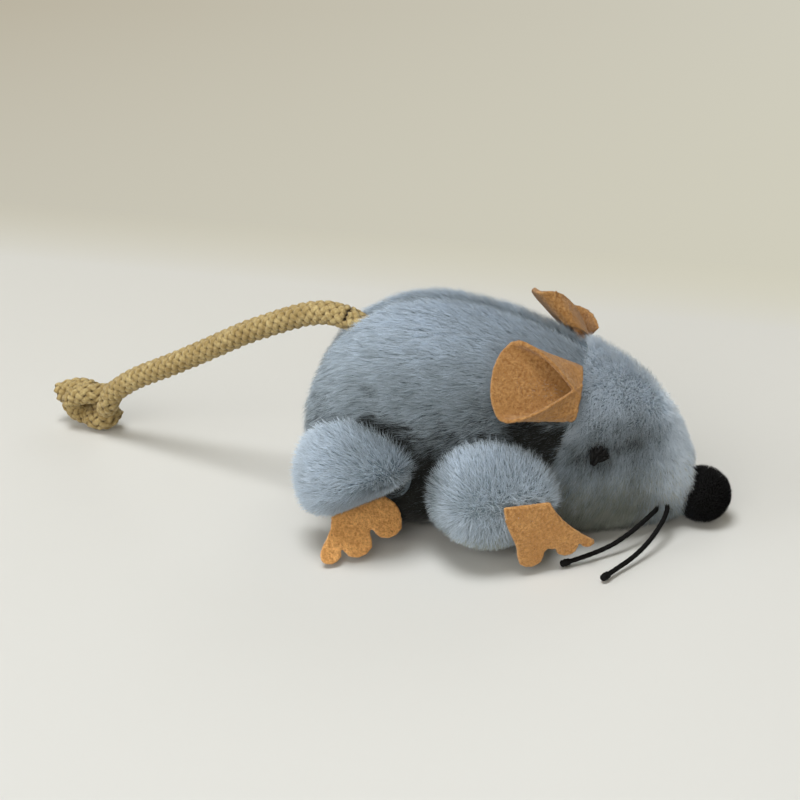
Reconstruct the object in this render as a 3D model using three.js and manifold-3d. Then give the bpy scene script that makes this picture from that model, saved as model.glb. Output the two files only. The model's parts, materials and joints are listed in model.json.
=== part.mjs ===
// A plush mouse for a cat, lying on its belly: nose towards +X, its left side towards +Y, up +Z.
// Millimetres. The origin is on the floor, under the middle of the toy without its cords.
import * as THREE from 'three';
import { mergeVertices } from 'three/addons/utils/BufferGeometryUtils.js';
import Module from 'manifold-3d';

const wasm = await Module();
wasm.setup();

// Driving dimensions
const gap = 0.3; // air between pieces that touch
const plush = 2; // pile fabric, from its backing to half way up the pile
const felt = 1.2;
const floorDip = 0.5; // how far the belly and chin would sag below the floor they rest on
const toyMiddle = 0.87;
const ropeThickness = 6.5;
const rootThickness = 4.8; // the rope is pinched where it is sewn in
const tailPivot = 3.1; // radius of the round end that the free rope turns about
const knotThickness = 6.3;
const knotLift = 0.2; // the rope's fibres hold the knot off the floor
const whiskerThickness = 1.3;

// The torso is an egg whose widest place is nearer the rump
const torso = {
  rump: -53.2, widest: -20, front: 26, halfWidth: 25.4, top: 60.2, middle: 25,
  bottom: -floorDip, round: 2.1, topFall: 0.0256, sideFall: 0.0104, bottomRise: 0.0016, rise: 1.7,
};
// The head is a blunt cone that hangs forward from the leaning neck seam
const head = {
  back: 0, tip: 45.9, neckTop: 52.5, halfWidth: 22.5, snoutTop: 11.5, snoutHalfWidth: 4.6,
  middle: 24, snoutMiddle: 8.6, bottom: -floorDip, snoutBottom: 3.4, crown: 0.55, cheek: 1.3, jowl: 0.8,
};
const neck = { point: [15, 0, 40], normal: [0.951, 0, -0.309] };
const gusset = { rear: -43, front: 3, halfWidth: 13.5, top: 20, under: 5 };

// Each limb is a stuffed tube: cut flat where it is sewn to the torso, closed by a straight end seam.
// Centre, outward direction, direction of the end seam, and the plane of its seat are for the right side.
const arm = {
  centre: [-6.5, -22, 17], outward: [0.42, -0.9, 0.12], seam: [0.9, 0.42, -0.05],
  radius: 14.4, length: 14, seamHalf: 9.5, seatNormal: [0.02, -0.97, -0.25], press: 2.8,
};
const leg = {
  centre: [-38.2, -18.9, 19.4], outward: [0.395, -0.328, -0.858], seam: [0.839, 0.509, 0.192],
  radius: 16, length: 7.1, seamHalf: 11.5, seatNormal: [-0.26, -0.93, -0.25], press: 2.6,
};
// Lobes are given as middle, tip and half width, and clefts as the points between them
const hand = {
  along: 4, root: 12.4, reach: 12, waist: 0.5, spread: 3.4, down: [-0.035, -0.04, -1],
  lobes: [[1.8, 15.6, 3.4], [11.4, 13.8, 3], [17, 12.4, 2]], clefts: [[6.2, 11.8], [14.8, 11.4]],
};
const foot = {
  along: -4.2, root: 15, reach: 6, waist: -1.5, spread: 3, down: [0.428, -0.4, -0.81],
  lobes: [[-11.4, 9.9, 2.8], [-4, 10.8, 3.9], [5.2, 9.3, 3.9]], clefts: [[-7.9, 7.7], [0.8, 6]],
};

// An ear is one felt petal: its sides fold over towards the front and meet at the neck seam
// The right ear is laid back and the left one stands up. A flap turns by its shut angle at the base and by
// its open angle at the rim: the first value is for the flap that `across` points away from. The fold's
// radius is given at the base and at the rim, and a higher bow keeps the flaps wide for longer
const ear = {
  rimHalf: 10, tipRound: 5,
  room: 1, // to the head, so that an ear can lean forward
  right: {
    base: [14.2, -16.8, 41.1], across: [0.107, 0.534, 0.838], reach: [-0.955, -0.23, 0.17],
    length: 21.5, baseHalf: 6.6, shut: [172, 172], open: [100, 100], fold: [2, 2], flap: [7.2, 7.2], bow: 1,
  },
  left: {
    base: [16.1, 11.2, 43.9], across: [-0.015, -0.911, 0.412], reach: [-0.687, 0.309, 0.658],
    length: 18.9, baseHalf: 7.3, shut: [145, 178], open: [72, 130], fold: [1, 2.1], flap: [7.2, 4.9], bow: 2,
  },
};
const nose = { centre: [48.6, 0, 7.5], radius: 7.2 };
const eye = { x: 20.4, height: 26, radius: 2.6, depth: 1.2, facing: [0.42, 0.9, 0.12] };
const whiskerKnot = 1.35;

// The tail rope leaves the back seam, sags to its left and comes to lie on the floor at its knot
const ropeRoute = [
  [-43.2, 0.2, 53.3], [-48.5, 2.9, 53.5], [-54, 5.9, 52], [-60, 9.2, 49.2], [-66, 12.4, 46],
  [-72, 15.6, 42.7], [-78, 18.8, 38.9], [-84, 22, 35], [-90, 25.2, 31.2], [-96, 28.4, 27.5],
  [-101.6, 31.4, 24.2], [-106.4, 34, 21.3], [-110.6, 36.2, 18.3], [-114, 38, 15.4], [-116.6, 39.5, 12.5],
];
const tailRoot = [[-30.6, -1.4, 45], [-34.6, -1.1, 48.2], [-38.8, -0.6, 51], [-43.2, 0.2, 53.3]];
// The overhand knot: its strands are given as along the rope, up and away from the viewer's side
const knot = { centre: [-121.4, 42.2, 8], along: [-0.876, 0.482, 0], away: [0.482, 0.876, 0] };
const knotStrands = {
  drop: [[-6.2, 4.8, 0.1], [-5.2, 2.8, -0.2], [-3.4, 0.6, 1], [-0.8, -0.6, 3], [2, -0.4, 4.5]],
  lower: [[-2.2, -1.6, 5], [-2, -3.7, 2.6], [0.2, -4.4, 1.4], [2.6, -4.5, 1.4], [5, -4.2, 2.6],
    [5.4, -3.4, 4.6]],
  wrap: [[-1.6, 3.6, 3.4], [1.4, 4, 0], [4.8, 3.3, -1], [7.8, 1.5, -1.2], [8.6, -1, -0.6], [7.4, -3.6, 1],
    [5, -4.3, 3.4]],
  end: [[4, 3.4, 3], [8, 3.3, 3], [11.4, 2.4, 2.4], [13.6, 1.4, 1.4], [15, 0.8, 0.6]],
};
// A whisker bends down from the snout and lies out sideways to its own small knot, here on the right
const whiskerRoutes = {
  rear: [
    [36.3, -9.2, 7.6], [36, -10.7, 7.5], [34.9, -12.2, 7.1], [33.5, -13.9, 6.5], [31.8, -15.7, 5.7],
    [29.9, -17.6, 4.8], [27.8, -19.5, 4], [25.5, -21.4, 3.2], [23, -23.2, 2.6], [20.5, -24.9, 2.2],
    [18, -26.5, 1.9], [15.6, -28, 1.7], [13.2, -29.4, 1.5],
  ],
  front: [
    [39.1, -7.8, 7.4], [39, -9.6, 7.4], [38.6, -11.6, 7.1], [37.9, -13.8, 6.6], [36.9, -16.1, 5.9],
    [35.6, -18.5, 5], [34.1, -21, 4.1], [32.4, -23.5, 3.3], [30.5, -26, 2.6], [28.5, -28.5, 2.1],
    [26.5, -31, 1.9], [24.6, -33.4, 1.7], [22.8, -35.6, 1.5],
  ],
};

const colours = {
  plush: 0x8b9cab, stuffing: 0xf1efe8, felt: 0x9b7549, black: 0x0a0a0b, rope: 0xa5946c,
};
const finish = { plush: 0.95, stuffing: 1, felt: 0.92, thread: 0.7, rope: 0.85 };

// Vectors and solids
const vec = (v) => new THREE.Vector3(...v);
const unit = (v) => vec(v).normalize();
const mirrored = (v) => [v[0], -v[1], v[2]];

function toSolid(geometry) {
  const plain = geometry.clone();
  plain.deleteAttribute('normal');
  plain.deleteAttribute('uv');
  const merged = mergeVertices(plain, 1e-5);
  const mesh = new wasm.Mesh({
    numProp: 3,
    vertProperties: new Float32Array(merged.attributes.position.array),
    triVerts: new Uint32Array(merged.index.array),
  });
  return new wasm.Manifold(mesh);
}

function toGeometry(solid) {
  const mesh = solid.getMesh();
  const geometry = new THREE.BufferGeometry();
  geometry.setAttribute('position', new THREE.BufferAttribute(new Float32Array(mesh.vertProperties), 3));
  geometry.setIndex(new THREE.BufferAttribute(new Uint32Array(mesh.triVerts), 1));
  geometry.computeVertexNormals();
  return geometry;
}

// A box that fills everything behind the plane through a point
function behind(point, normal) {
  const size = 300;
  const box = new THREE.BoxGeometry(size, size, size);
  box.translate(0, 0, -size / 2);
  box.applyQuaternion(new THREE.Quaternion().setFromUnitVectors(new THREE.Vector3(0, 0, 1), normal));
  box.translate(point.x, point.y, point.z);
  return toSolid(box);
}

// A closed skin over rings of equal counts, closed at both ends to the ring's middle
function loft(rings) {
  const count = rings[0].length;
  const points = rings.flat();
  const poles = [rings[0], rings[rings.length - 1]].map((ring) => {
    const sum = ring.reduce((total, point) => total.add(point), new THREE.Vector3());
    return sum.divideScalar(count);
  });
  const first = points.length;
  const faces = [];
  for (let i = 0; i < rings.length - 1; i++) {
    for (let k = 0; k < count; k++) {
      const a = i * count + k;
      const b = i * count + ((k + 1) % count);
      faces.push(a, b, a + count, b, b + count, a + count);
    }
  }
  const last = (rings.length - 1) * count;
  for (let k = 0; k < count; k++) {
    const next = (k + 1) % count;
    faces.push(first, next, k, first + 1, last + k, last + next);
  }
  const geometry = new THREE.BufferGeometry().setFromPoints([...points, ...poles]);
  geometry.setIndex(faces);
  return toSolid(geometry);
}

// Outlines of the torso and head, drawn in by an inset for the layers inside
const quarter = (u, power) => Math.max(0, 1 - u ** power) ** (1 / power);
const mix = (a, b, t) => a + (b - a) * t;

function torsoSection(x, inset) {
  const t = torso;
  if (x < t.widest) {
    const u = (t.widest - x) / (t.widest - t.rump - inset);
    const f = quarter(u, t.round);
    return {
      half: (t.halfWidth - inset) * f,
      middle: t.middle,
      up: (t.top - inset - t.middle) * f,
      down: (t.middle - t.bottom - inset) * f,
      jowl: 1,
    };
  }
  const d = (x - t.widest) ** t.rise;
  return {
    half: t.halfWidth - inset - t.sideFall * d,
    middle: t.middle,
    up: t.top - inset - t.topFall * d - t.middle,
    down: t.middle - t.bottom - inset - t.bottomRise * d,
    jowl: 1,
  };
}

function headSection(x, inset) {
  const h = head;
  const u = Math.min(1, (x - h.back) / (h.tip - h.back));
  const bulge = Math.max(0, 1 - u * u);
  const middle = mix(h.snoutMiddle, h.middle, bulge);
  const top = h.snoutTop + (h.neckTop - h.snoutTop) * bulge ** h.crown;
  const bottom = mix(h.bottom, h.snoutBottom, u ** 6);
  return {
    half: h.snoutHalfWidth + (h.halfWidth - h.snoutHalfWidth) * bulge ** h.cheek - inset,
    middle,
    up: top - inset - middle,
    down: middle - bottom - inset,
    jowl: h.jowl,
  };
}

function sectionPoint(section, x, angle) {
  const c = Math.cos(angle);
  const s = Math.sin(angle);
  const side = s > 0 ? c : Math.sign(c) * Math.abs(c) ** section.jowl;
  return new THREE.Vector3(x, section.half * side, section.middle + (s > 0 ? section.up : section.down) * s);
}

function sectionRing(section, x, count) {
  return Array.from({ length: count }, (_, k) => sectionPoint(section, x, (2 * Math.PI * k) / count));
}

function torsoForm(inset, count = 24) {
  const rear = torso.widest - torso.rump - inset;
  const stations = [];
  for (let i = 1; i <= 9; i++) stations.push(torso.widest - rear * Math.cos((Math.PI / 2) * (i / 9)));
  for (let i = 1; i <= 6; i++) stations.push(mix(torso.widest, torso.front, i / 6));
  return loft(stations.map((x) => sectionRing(torsoSection(x, inset), x, count)));
}

function headForm(inset, count = 24) {
  const tip = head.tip - inset;
  const stations = [];
  for (let i = 0; i <= 11; i++) stations.push(mix(-6, tip, Math.sin((Math.PI / 2) * (i / 11))));
  return loft(stations.map((x) => sectionRing(headSection(x, inset), x, count)));
}

// A limb's rings run along its outward direction and flatten towards the end seam
function limbForm(limb, side, inset) {
  const flip = side < 0 ? (v) => v : mirrored;
  const out = unit(flip(limb.outward));
  const along = unit(flip(limb.seam));
  along.addScaledVector(out, -along.dot(out)).normalize();
  const across = new THREE.Vector3().crossVectors(out, along);
  const centre = vec(flip(limb.centre));
  const radius = limb.radius - inset;
  const length = limb.length - inset * 0.6;
  const seamHalf = limb.seamHalf - inset;
  const rings = [];
  const rear = 6;
  const fore = 7;
  for (let i = 1; i <= rear + fore; i++) {
    const turn = (Math.PI / 2) * (i <= rear ? i / rear : (i - rear) / fore);
    const t = i <= rear ? -Math.cos(turn) : Math.sin(turn);
    const round = Math.sqrt(1 - t * t);
    const wide = t < 0 ? radius * round : mix(seamHalf, radius, Math.sqrt(1 - t ** 4));
    const thick = t < 0 ? radius * round : Math.max(0.7, radius * quarter(t, 2));
    const reach = t < 0 ? radius * t : length * t;
    rings.push(Array.from({ length: 18 }, (_, k) => {
      const angle = (2 * Math.PI * k) / 18;
      return centre.clone()
        .addScaledVector(out, reach)
        .addScaledVector(along, wide * Math.cos(angle))
        .addScaledVector(across, thick * Math.sin(angle));
    }));
  }
  return { solid: loft(rings), out, along, across, centre, length };
}

// Cords: a many-sided section drawn along a smooth route
function tube(route, thickness, sides, steps) {
  const path = new THREE.CatmullRomCurve3(route.map((point) => (point.isVector3 ? point : vec(point))));
  const shape = new THREE.Shape(Array.from({ length: sides }, (_, k) => {
    const angle = (2 * Math.PI * (k + 0.5)) / sides;
    return new THREE.Vector2(Math.cos(angle), Math.sin(angle)).multiplyScalar(thickness / 2);
  }));
  const geometry = new THREE.ExtrudeGeometry(shape, { steps, extrudePath: path, bevelEnabled: false });
  const solid = toSolid(geometry);
  return solid.volume() > 0 ? solid : flipped(mergeVertices(geometry));
}

function ball(centre, radius, detail) {
  const sphere = new THREE.IcosahedronGeometry(radius, detail);
  sphere.translate(...centre);
  return toSolid(sphere);
}

// The room that a cord needs around itself and past both of its ends
function grown(route, thickness, sides) {
  const points = route.map((point) => vec(point));
  const first = points[0].clone().sub(points[1]).setLength(gap).add(points[0]);
  const end = points.length - 1;
  const last = points[end].clone().sub(points[end - 1]).setLength(gap).add(points[end]);
  return tube([first, ...points, last], thickness + 2 * gap, sides, 3 * points.length);
}

// The flat seats that the limbs press into torso and head
const torsoPoints = torsoForm(0).getMesh().vertProperties;

function seatOf(limb, side) {
  const normal = unit(side < 0 ? limb.seatNormal : mirrored(limb.seatNormal));
  let reach = 0;
  for (let i = 0; i < torsoPoints.length; i += 3) {
    reach = Math.max(reach, normal.dot(new THREE.Vector3().fromArray(torsoPoints, i)));
  }
  return { normal, depth: reach - limb.press };
}

const seatPlanes = [arm, leg].flatMap((limb) => [-1, 1].map((side) => seatOf(limb, side)));

function seatCut(solid, inset) {
  return seatPlanes.reduce((rest, plane) => {
    const point = plane.normal.clone().multiplyScalar(plane.depth - inset);
    return rest.intersect(behind(point, plane.normal));
  }, solid);
}

const up = new THREE.Vector3(0, 0, 1);
const down = new THREE.Vector3(0, 0, -1);

function onFloor(solid, inset) {
  return solid.intersect(behind(new THREE.Vector3(0, 0, inset), down));
}

const neckNormal = unit(neck.normal);
const neckPoint = (shift) => vec(neck.point).addScaledVector(neckNormal, shift);

const torsoLayer = (inset) => onFloor(seatCut(torsoForm(inset), inset), inset);
const headLayer = (inset) => onFloor(seatCut(headForm(inset), inset), inset);

// The belly panel's outline is a pointed oval, seen from above
function gussetPrism(grow) {
  const { rear, front, halfWidth, top, under } = gusset;
  const shape = new THREE.Shape();
  const middle = (rear + front) / 2;
  shape.moveTo(rear - grow, 0);
  shape.quadraticCurveTo(middle, -2 * (halfWidth + grow), front + grow, 0);
  shape.quadraticCurveTo(middle, 2 * (halfWidth + grow), rear - grow, 0);
  const extent = { depth: top + under, bevelEnabled: false, curveSegments: 10 };
  const prism = new THREE.ExtrudeGeometry(shape, extent);
  prism.translate(0, 0, -under);
  return toSolid(prism);
}

// A whisker cord runs straight through the snout from one side to the other
function threadEnds(route) {
  const [x, y, z] = route[0];
  return [[x, y + gap, z], [x, 0, z], [x, -y - gap, z]];
}
const whiskerThread = (route) => tube(threadEnds(route), whiskerThickness, 8, 2);
const threadRoom = (route) => [threadEnds(route), route.slice(0, 3), route.slice(0, 3).map(mirrored)]
  .map((part) => grown(part, whiskerThickness, 8))
  .reduce((sum, part) => sum.add(part));
const whiskerHoles = Object.values(whiskerRoutes).map(threadRoom).reduce((sum, hole) => sum.add(hole));
const tailHole = grown(tailRoot, rootThickness, 12)
  .add(grown(ropeRoute.slice(0, 4), ropeThickness, 12))
  .add(ball(ropeRoute[0], tailPivot + 3 * gap, 2));

const torsoOuter = torsoLayer(0);
const headOuter = headLayer(0);
const torsoSkin = torsoOuter
  .subtract(torsoLayer(plush))
  .subtract(tailHole)
  .intersect(behind(neckPoint(-gap / 2), neckNormal));
const bellyRegion = gussetPrism(0).intersect(behind(new THREE.Vector3(0, 0, gusset.top), up));

function torsoSide(side) {
  const facing = new THREE.Vector3(0, side, 0);
  const ahead = behind(facing.clone().multiplyScalar(gap / 2), facing);
  return torsoSkin.subtract(ahead).subtract(gussetPrism(gap));
}

const pieces = new THREE.Group();

function addPiece(name, solid, colour, roughness) {
  const material = new THREE.MeshStandardMaterial({ color: colour, roughness, metalness: 0 });
  const geometry = toGeometry(solid);
  geometry.translate(-toyMiddle, 0, 0);
  const mesh = new THREE.Mesh(geometry, material);
  mesh.name = name;
  pieces.add(mesh);
}

addPiece('torso_side_right', torsoSide(-1), colours.plush, finish.plush);
addPiece('torso_side_left', torsoSide(1), colours.plush, finish.plush);
addPiece('belly_panel', torsoSkin.intersect(bellyRegion), colours.plush, finish.plush);
const torsoFill = torsoLayer(plush + gap)
  .subtract(tailHole)
  .intersect(behind(neckPoint(-gap / 2), neckNormal));
addPiece('torso_stuffing', torsoFill, colours.stuffing, finish.stuffing);

const neckSide = behind(neckPoint(gap / 2), neckNormal);
const headShell = headOuter.subtract(headLayer(plush)).subtract(neckSide).subtract(whiskerHoles);
const headFill = headLayer(plush + gap).subtract(neckSide).subtract(whiskerHoles);
addPiece('head_cover', headShell, colours.plush, finish.plush);
addPiece('head_stuffing', headFill, colours.stuffing, finish.stuffing);

for (const [sideName, side] of [['right', -1], ['left', 1]]) {
  for (const [limbName, limb] of [['arm', arm], ['leg', leg]]) {
    const { normal, depth } = seatOf(limb, side);
    const seat = behind(normal.clone().multiplyScalar(depth + gap), normal);
    const cover = limbForm(limb, side, 0).solid.subtract(limbForm(limb, side, plush).solid).subtract(seat);
    const fill = limbForm(limb, side, plush + gap).solid.subtract(seat);
    addPiece(`${limbName}_cover_${sideName}`, cover, colours.plush, finish.plush);
    addPiece(`${limbName}_stuffing_${sideName}`, fill, colours.stuffing, finish.stuffing);
  }
}

const pompom = ball(nose.centre, nose.radius, 3).subtract(headLayer(-gap));
addPiece('nose_pompom', pompom, colours.black, finish.plush);

// Ears
function earPoint(frame, u, v, lift) {
  const { shut, open, length, baseHalf, bow } = frame.pose;
  const side = u < 0 ? 0 : 1;
  const fold = mix(...frame.pose.fold, v);
  const backHalf = mix(baseHalf, ear.rimHalf, v) - fold;
  const turn = THREE.MathUtils.degToRad(mix(shut[side], open[side], v));
  const arc = fold * turn;
  const flapEnd = backHalf + arc + frame.pose.flap[side] * (1 - v ** bow);
  const s = Math.abs(u) * flapEnd;
  const angle = Math.min(turn, Math.max(0, (s - backHalf) / fold));
  const straight = Math.max(0, s - backHalf - arc);
  const x = Math.min(s, backHalf) + fold * Math.sin(angle) + straight * Math.cos(angle);
  const z = fold * (1 - Math.cos(angle)) + straight * Math.sin(angle);
  const rim = length - ear.tipRound * (s / flapEnd) ** 2.5;
  return frame.base.clone()
    .addScaledVector(frame.across, Math.sign(u) * (x + lift * Math.sin(angle)))
    .addScaledVector(frame.facing, z - lift * Math.cos(angle))
    .addScaledVector(frame.reach, v * rim);
}

function earFrame(side) {
  const pose = side < 0 ? ear.right : ear.left;
  const across = unit(pose.across);
  const reach = unit(pose.reach);
  reach.addScaledVector(across, -reach.dot(across)).normalize();
  const facing = new THREE.Vector3().crossVectors(across, reach).multiplyScalar(-side);
  return { pose, base: vec(pose.base), across, reach, facing };
}

// A felt sheet of even thickness over a grid of places
function feltSheet(place, columns, rows) {
  const rings = [];
  for (let j = 0; j <= rows; j++) {
    const ring = [];
    for (let i = 0; i <= columns; i++) ring.push(place((2 * i) / columns - 1, j / rows, -felt / 2));
    for (let i = columns; i >= 0; i--) ring.push(place((2 * i) / columns - 1, j / rows, felt / 2));
    rings.push(ring);
  }
  return rings;
}

function gridSolid(rings) {
  const count = rings[0].length;
  const faces = [];
  for (let i = 0; i < rings.length - 1; i++) {
    for (let k = 0; k < count; k++) {
      const a = i * count + k;
      const b = i * count + ((k + 1) % count);
      faces.push(a, b, a + count, b, b + count, a + count);
    }
  }
  const last = (rings.length - 1) * count;
  for (let k = 0; k < count / 2 - 1; k++) {
    const far = count - 1 - k;
    faces.push(k, far, k + 1, far, far - 1, k + 1);
    faces.push(last + k, last + k + 1, last + far, last + far, last + k + 1, last + far - 1);
  }
  const geometry = new THREE.BufferGeometry().setFromPoints(rings.flat());
  geometry.setIndex(faces);
  const solid = toSolid(geometry);
  return solid.volume() > 0 ? solid : flipped(geometry);
}

function flipped(geometry) {
  const faces = geometry.index.array;
  for (let i = 0; i < faces.length; i += 3) [faces[i], faces[i + 1]] = [faces[i + 1], faces[i]];
  return toSolid(geometry);
}

for (const [sideName, side] of [['right', -1], ['left', 1]]) {
  const frame = earFrame(side);
  const sheet = feltSheet((u, v, lift) => earPoint(frame, u, v, lift), 20, 7);
  const clear = gridSolid(sheet).subtract(torsoLayer(-gap)).subtract(headLayer(-ear.room));
  addPiece(`ear_${sideName}`, clear, colours.felt, finish.felt);
}

// Hands and feet are felt flaps with three rounded lobes, sewn in the limbs' end seams
function flapFrame(limb, flap, side) {
  const flip = side < 0 ? (v) => v : mirrored;
  const form = limbForm(limb, side, 0);
  const lower = unit(flip(flap.down));
  lower.addScaledVector(form.along, -lower.dot(form.along)).normalize();
  const facing = new THREE.Vector3().crossVectors(form.along, lower).multiplyScalar(side);
  const root = form.centre.clone()
    .addScaledVector(form.out, form.length + gap + felt / 2)
    .addScaledVector(form.along, flap.along);
  return { root, along: form.along, lower, facing };
}

function flapOutline(flap) {
  const shape = new THREE.Shape();
  const half = flap.root / 2;
  shape.moveTo(-half, 0);
  flap.lobes.forEach(([u, v, width], i) => {
    const side = i === 0 ? -half : flap.clefts[i - 1][0];
    const top = i === 0 ? 0.5 : flap.clefts[i - 1][1];
    const [less, more, low, high] = [u - width, u + width, v - width * 0.6, v + width * 0.45];
    if (i === 0) shape.bezierCurveTo(side + flap.waist, v * 0.4, less, v * 0.55, less, low);
    else shape.quadraticCurveTo(less, top + 0.5, less, low);
    shape.bezierCurveTo(less, high, more, high, more, low);
    if (i < flap.clefts.length) shape.quadraticCurveTo(more, flap.clefts[i][1] + 0.5, ...flap.clefts[i]);
  });
  shape.quadraticCurveTo(half + flap.spread, flap.reach * 0.5, half, 0);
  return shape;
}

function flapSolid(frame, flap) {
  const extent = { depth: felt, bevelEnabled: false, curveSegments: 5 };
  const prism = new THREE.ExtrudeGeometry(flapOutline(flap), extent);
  prism.translate(0, 0, -felt / 2);
  const edge = new THREE.CylinderGeometry(felt / 2, felt / 2, flap.root, 12);
  edge.rotateZ(Math.PI / 2);
  const basis = new THREE.Matrix4()
    .makeBasis(frame.along, frame.lower, frame.facing)
    .setPosition(frame.root);
  return placed(prism, basis).add(placed(edge, basis));
}

function placed(geometry, basis) {
  const moved = geometry.applyMatrix4(basis);
  const solid = toSolid(moved);
  return solid.volume() > 0 ? solid : flipped(mergeVertices(moved));
}

for (const [sideName, side] of [['right', -1], ['left', 1]]) {
  for (const [name, limb, flap] of [['hand', arm, hand], ['foot', leg, foot]]) {
    const clear = flapSolid(flapFrame(limb, flap, side), flap).subtract(limbForm(limb, side, -gap).solid);
    addPiece(`${name}_${sideName}`, clear, colours.felt, finish.felt);
  }
}

// Eyes: small stitched patches that lie on the head
for (const [sideName, side] of [['right', -1], ['left', 1]]) {
  const section = headSection(eye.x, 0);
  const angle = Math.asin((eye.height - section.middle) / section.up);
  const place = sectionPoint(section, eye.x, angle);
  place.y = side * Math.abs(place.y);
  const outward = unit(side < 0 ? mirrored(eye.facing) : eye.facing);
  const patch = new THREE.CylinderGeometry(eye.radius, eye.radius, 2 * eye.radius, 18);
  patch.applyQuaternion(new THREE.Quaternion().setFromUnitVectors(new THREE.Vector3(0, 1, 0), outward));
  patch.translate(place.x, place.y, place.z);
  const solid = toSolid(patch).intersect(headLayer(-gap - eye.depth)).subtract(headLayer(-gap));
  addPiece(`eye_${sideName}`, solid, colours.black, finish.thread);
}

// The overhand knot in the tail
const largest = (solid) => solid.decompose().sort((a, b) => b.volume() - a.volume())[0];

function knotPoint([along, rise, depth]) {
  return vec(knot.centre)
    .addScaledVector(vec(knot.along), along)
    .addScaledVector(up, rise)
    .addScaledVector(vec(knot.away), depth);
}

function tailKnot() {
  const strands = Object.values(knotStrands)
    .map((strand) => tube(strand.map(knotPoint), knotThickness, 10, 8));
  const whole = strands.reduce((sum, strand) => sum.add(strand));
  return largest(onFloor(whole, knotLift).subtract(grown(ropeRoute, ropeThickness, 12)));
}

const freeRope = tube(ropeRoute, ropeThickness, 12, 18).subtract(ball(ropeRoute[0], tailPivot + gap, 2));
const sewnRope = tube(tailRoot, rootThickness, 12, 4).add(ball(ropeRoute[0], tailPivot, 2));
addPiece('tail_rope', freeRope, colours.rope, finish.rope);
addPiece('tail_root', sewnRope, colours.rope, finish.rope);
addPiece('tail_knot', tailKnot(), colours.rope, finish.rope);

for (const [sideName, flip] of [['right', (point) => point], ['left', mirrored]]) {
  for (const [place, route] of Object.entries(whiskerRoutes)) {
    const points = route.map(flip);
    const cord = tube(points, whiskerThickness, 8, 12);
    addPiece(`whisker_${place}_${sideName}`, cord, colours.black, finish.thread);
    const knotEnd = ball(points[points.length - 1], whiskerKnot, 1)
      .subtract(grown(points, whiskerThickness, 8));
    addPiece(`whisker_knot_${place}_${sideName}`, knotEnd, colours.black, finish.thread);
  }
}
for (const [place, route] of Object.entries(whiskerRoutes)) {
  addPiece(`whisker_thread_${place}`, whiskerThread(route), colours.black, finish.thread);
}

export default pieces;
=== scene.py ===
import json
import math

import bmesh
import bpy
import numpy as np
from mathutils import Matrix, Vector

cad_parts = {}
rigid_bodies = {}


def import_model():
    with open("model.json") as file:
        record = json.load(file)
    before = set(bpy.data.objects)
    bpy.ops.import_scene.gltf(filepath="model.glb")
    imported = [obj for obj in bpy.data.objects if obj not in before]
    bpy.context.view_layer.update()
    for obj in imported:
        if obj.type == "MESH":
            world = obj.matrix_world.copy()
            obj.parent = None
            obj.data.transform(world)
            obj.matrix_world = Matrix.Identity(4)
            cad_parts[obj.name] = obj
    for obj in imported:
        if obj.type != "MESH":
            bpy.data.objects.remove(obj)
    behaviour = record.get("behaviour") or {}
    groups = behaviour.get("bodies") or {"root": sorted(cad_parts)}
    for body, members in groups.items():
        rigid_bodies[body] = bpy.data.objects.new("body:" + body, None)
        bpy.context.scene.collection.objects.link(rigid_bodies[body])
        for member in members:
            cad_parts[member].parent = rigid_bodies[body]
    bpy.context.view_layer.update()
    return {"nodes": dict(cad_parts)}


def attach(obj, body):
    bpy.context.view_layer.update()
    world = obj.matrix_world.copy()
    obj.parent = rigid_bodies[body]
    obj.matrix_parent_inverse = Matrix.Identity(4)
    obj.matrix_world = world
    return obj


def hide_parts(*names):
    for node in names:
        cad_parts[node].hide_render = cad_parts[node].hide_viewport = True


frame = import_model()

mm = 0.001
# The outlines below are in millimetres, and their zero lies this far behind the toy's middle
toyMiddle = 0.87
fibreClear = 0.15  # between the floor and the lowest fibres
scene = bpy.context.scene
print("frame loaded")


# Small helpers
def unit(v):
    v = np.array(v, float)
    return v / np.linalg.norm(v)


def unitRows(v, least=0.0):
    return v / (np.linalg.norm(v, axis=1)[:, None] + least)


def inFrame(points):
    points = np.array(points, float)
    return (points - [toyMiddle, 0, 0]) * mm


def fromFrame(points):
    return points / mm + [toyMiddle, 0, 0]


def mirrored(points):
    return np.array(points, float) * [1, -1, 1]


# Everything on the left mirrors the right
bothSides = (("right", np.array), ("left", mirrored))


def lifted(points, least):
    points[:, 2] = np.maximum(points[:, 2], least)
    return points


# An amount that is full at one place and fades to both sides of it
def band(value, amount, middle, reach):
    return amount * np.exp(-((value - middle) / reach) ** 2)


# An amount that grows from nothing at the start to all of it at the end
def slope(value, amount, start, end):
    return amount * np.clip((value - start) / (end - start), 0, 1)


def newObject(name, data):
    made = bpy.data.objects.new(name, data)
    scene.collection.objects.link(made)
    return made


def newMesh(name, points, faces):
    mesh = bpy.data.meshes.new(name)
    mesh.from_pydata([tuple(p) for p in points], [], faces)
    return mesh


def setSmooth(mesh):
    mesh.polygons.foreach_set("use_smooth", [True] * len(mesh.polygons))


def setMaterial(mesh, material):
    mesh.materials.clear()
    mesh.materials.append(material)


def meshPiece(name, points, faces, material):
    mesh = newMesh(name, points, faces)
    mesh.update()
    setSmooth(mesh)
    setMaterial(mesh, material)
    return newObject(name, mesh)


def read(items, label, width):
    values = np.empty(len(items) * width)
    items.foreach_get(label, values)
    return values.reshape(-1, width)


def meshPoints(mesh):
    return read(mesh.vertices, "co", 3)


def setPoints(mesh, points):
    mesh.vertices.foreach_set("co", np.asarray(points, float).ravel())
    mesh.update()


def meshNormals(mesh):
    return read(mesh.vertices, "normal", 3)


def setValues(mesh, label, values):
    mesh.attributes.new(label, "FLOAT", "POINT").data.foreach_set("value", values)


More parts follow.
